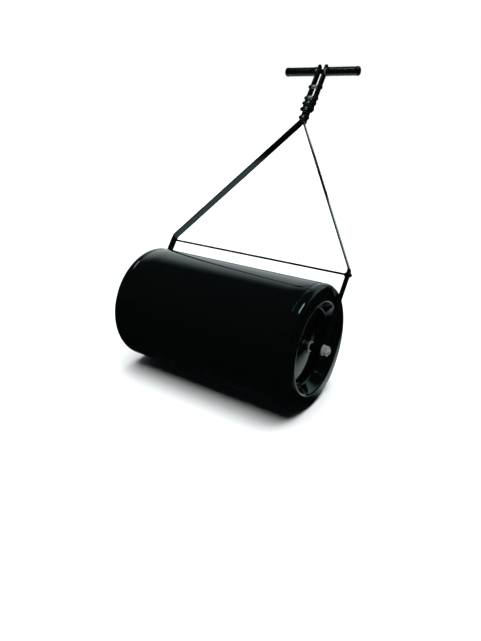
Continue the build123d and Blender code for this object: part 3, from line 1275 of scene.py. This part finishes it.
@dataclass
class Studio:
    """Seamless white sweep, a broad sun over it, and a room that is bright behind the roller."""

    floor_radius: float = 30.0
    camera_place: Vector = field(default_factory=lambda: Vector((1.185, 0.839, 0.835)))
    camera_look: Vector = field(default_factory=lambda: Vector((-0.7595, -0.5376, -0.3663)))
    lens: float = 29.65
    shift: tuple[float, float] = (0.0214, -0.039)
    ceiling_edge: float = 135.0
    ceiling_softness: float = 12.0
    board_size: float = 6.0
    board_edge: float = 0.5
    board_drop: float = 0.002
    board_fade_x: tuple[float, float] = (-0.03, -0.13)
    board_fade_y: tuple[float, float] = (0.44, 0.34)
    overhead_power: float = 4.6
    overhead_spread: float = 65.0

    def build(self) -> None:
        """Set up the whole studio."""
        bpy.context.scene.view_settings.view_transform = "Standard"
        self.make_camera()
        self.make_floor()
        self.make_room()
        self.make_reflector()
        self.make_lamps()

    def make_camera(self) -> None:
        """Stand the camera at the left front corner of the roller."""
        data = bpy.data.cameras.new("camera")
        data.lens = self.lens
        data.shift_x, data.shift_y = self.shift
        camera = bpy.data.objects.new("camera", data)
        bpy.context.scene.collection.objects.link(camera)
        camera.location = self.camera_place
        camera.rotation_euler = self.camera_look.to_track_quat("-Z", "Y").to_euler()
        bpy.context.scene.camera = camera

    def make_floor(self) -> None:
        """Lay the white sweep."""
        deselect()
        bpy.ops.mesh.primitive_circle_add(
            vertices=128, radius=self.floor_radius, fill_type="NGON", location=(0.0, 0.0, 0.0)
        )
        floor = bpy.context.object
        floor.name = "floor"
        floor.visible_glossy = False
        paper, shader, place = new_finish("sweep_paper")
        tree = paper.node_tree
        mottle = add_node(
            tree, "ShaderNodeTexNoise", {"Vector": place, "Scale": 3.0, "Detail": 3.0}
        )
        colour = add_node(
            tree,
            "ShaderNodeMix",
            {0: mottle.outputs["Fac"], 6: linear("#f4f6f6"), 7: linear("#f1f4f4")},
            data_type="RGBA",
        )
        tree.links.new(colour.outputs[2], shader.inputs["Base Color"])
        shader.inputs["Roughness"].default_value = 0.9
        shader.inputs["Specular IOR Level"].default_value = 0.1
        floor.data.materials.append(paper)

    def make_room(self) -> None:
        """Light the room: bright above and behind, dim in front, dark low down and on the left."""
        room = bpy.data.worlds.new("room")
        bpy.context.scene.world = room
        room.use_nodes = True
        tree = room.node_tree
        tree.nodes.clear()
        facing = add_node(tree, "ShaderNodeTexCoord").outputs["Generated"]
        edge = math.radians(self.ceiling_edge)
        soft = math.sin(math.radians(self.ceiling_softness)) * 0.84
        shares = []
        for direction, low, high in (
            ((-math.sin(edge), 0.0, math.cos(edge)), -soft, soft),
            ((-0.81, -0.58, 0.0), 0.6, 1.0),
            ((0.0, 0.0, 1.0), -0.02, 0.02),
            ((0.0, -0.5, 1.0), -0.02, 0.12),
        ):
            along = add_node(
                tree, "ShaderNodeVectorMath", {0: facing, 1: direction}, operation="DOT_PRODUCT"
            )
            shares.append(
                add_node(
                    tree,
                    "ShaderNodeMapRange",
                    {"Value": along.outputs["Value"], "From Min": low, "From Max": high},
                    interpolation_type="SMOOTHSTEP",
                ).outputs[0]
            )
        ceiling, wall, above, near = shares
        lit = add_node(tree, "ShaderNodeMath", {0: above, 1: near}, operation="MULTIPLY")
        colour = add_node(
            tree,
            "ShaderNodeMix",
            {0: ceiling, 6: linear("#1b2223"), 7: linear("#c6dadd")},
            data_type="RGBA",
        )
        colour = add_node(
            tree,
            "ShaderNodeMix",
            {0: wall, 6: colour.outputs[2], 7: linear("#eef6f6")},
            data_type="RGBA",
        )
        colour = add_node(
            tree,
            "ShaderNodeMix",
            {0: lit.outputs[0], 6: linear("#0a0d0e"), 7: colour.outputs[2]},
            data_type="RGBA",
        )
        seen = add_node(tree, "ShaderNodeLightPath").outputs["Is Camera Ray"]
        colour = add_node(
            tree,
            "ShaderNodeMix",
            {0: seen, 6: colour.outputs[2], 7: linear("#ffffff")},
            data_type="RGBA",
        )
        light = add_node(tree, "ShaderNodeBackground", {"Color": colour.outputs[2]})
        add_node(tree, "ShaderNodeOutputWorld", {"Surface": light.outputs[0]})

    def make_reflector(self) -> None:
        """Lay the pale board behind the roller that only its gloss sees."""
        half = self.board_size / 2
        deselect()
        bpy.ops.mesh.primitive_plane_add(
            size=self.board_size, location=(-half, self.board_edge - half, -self.board_drop)
        )
        board = bpy.context.object
        board.name = "reflector"
        bpy.ops.object.transform_apply(location=True, rotation=True, scale=True)
        board.visible_camera = False
        board.visible_diffuse = False
        board.visible_shadow = False
        material = bpy.data.materials.new("reflector_board")
        material.use_nodes = True
        tree = material.node_tree
        tree.nodes.clear()
        place = add_node(tree, "ShaderNodeTexCoord").outputs["Object"]
        apart = add_node(tree, "ShaderNodeSeparateXYZ", {0: place})
        fades = [
            add_node(
                tree,
                "ShaderNodeMapRange",
                {"Value": apart.outputs[axis], "From Min": fade[0], "From Max": fade[1]},
                interpolation_type="SMOOTHSTEP",
            ).outputs[0]
            for axis, fade in (("X", self.board_fade_x), ("Y", self.board_fade_y))
        ]
        both = add_node(tree, "ShaderNodeMath", {0: fades[0], 1: fades[1]}, operation="MULTIPLY")
        glow = add_node(
            tree,
            "ShaderNodeEmission",
            {"Color": linear("#e6f2f2"), "Strength": both.outputs[0]},
        )
        add_node(tree, "ShaderNodeOutputMaterial", {"Surface": glow.outputs[0]})
        board.data.materials.append(material)

    def make_lamps(self) -> None:
        """Hang the overhead light that whitens the sweep, and the lamp for the highlights."""
        data = bpy.data.lights.new("overhead", "SUN")
        data.energy = self.overhead_power
        data.angle = math.radians(self.overhead_spread)
        overhead = bpy.data.objects.new("overhead", data)
        bpy.context.scene.collection.objects.link(overhead)
        overhead.rotation_euler = Vector((0.0, -0.02, -1.0)).to_track_quat("-Z", "Y").to_euler()
        overhead.visible_glossy = False
        Softbox(
            name="front_lamp",
            place=(0.1, 1.2, 2.75),
            target=(0.0, 0.2, 0.3),
            size=(0.95, 0.55),
            watts=15.0,
        ).hang()


def main() -> None:
    """Build the studio, then the roller's pieces in order."""
    logging.basicConfig(level=logging.INFO, format="%(message)s")
    bpy.context.tool_settings.mesh_select_mode = (True, False, False)
    Studio().build()
    finishes = Finishes()
    finishes.dress_cad()
    Drum(finishes).build()
    FillerPlug(finishes).build()
    axle = Rod(
        name="axle",
        node="axle_rod",
        pitch=2.309,
        thread_from=319.0,
        chamfer=1.2,
        slot="zinc_plate",
    )
    axle.build(finishes.zinc)
    cross_rod = Rod(
        name="cross_rod",
        node="tie_rod",
        pitch=1.27,
        thread_from=318.4,
        chamfer=0.6,
        slot="frame_enamel",
        segments=40,
    )
    cross_rod.build(finishes.bar)
    for side in Side:
        Grip(finishes, side).build()


if __name__ == "__main__":
    main()
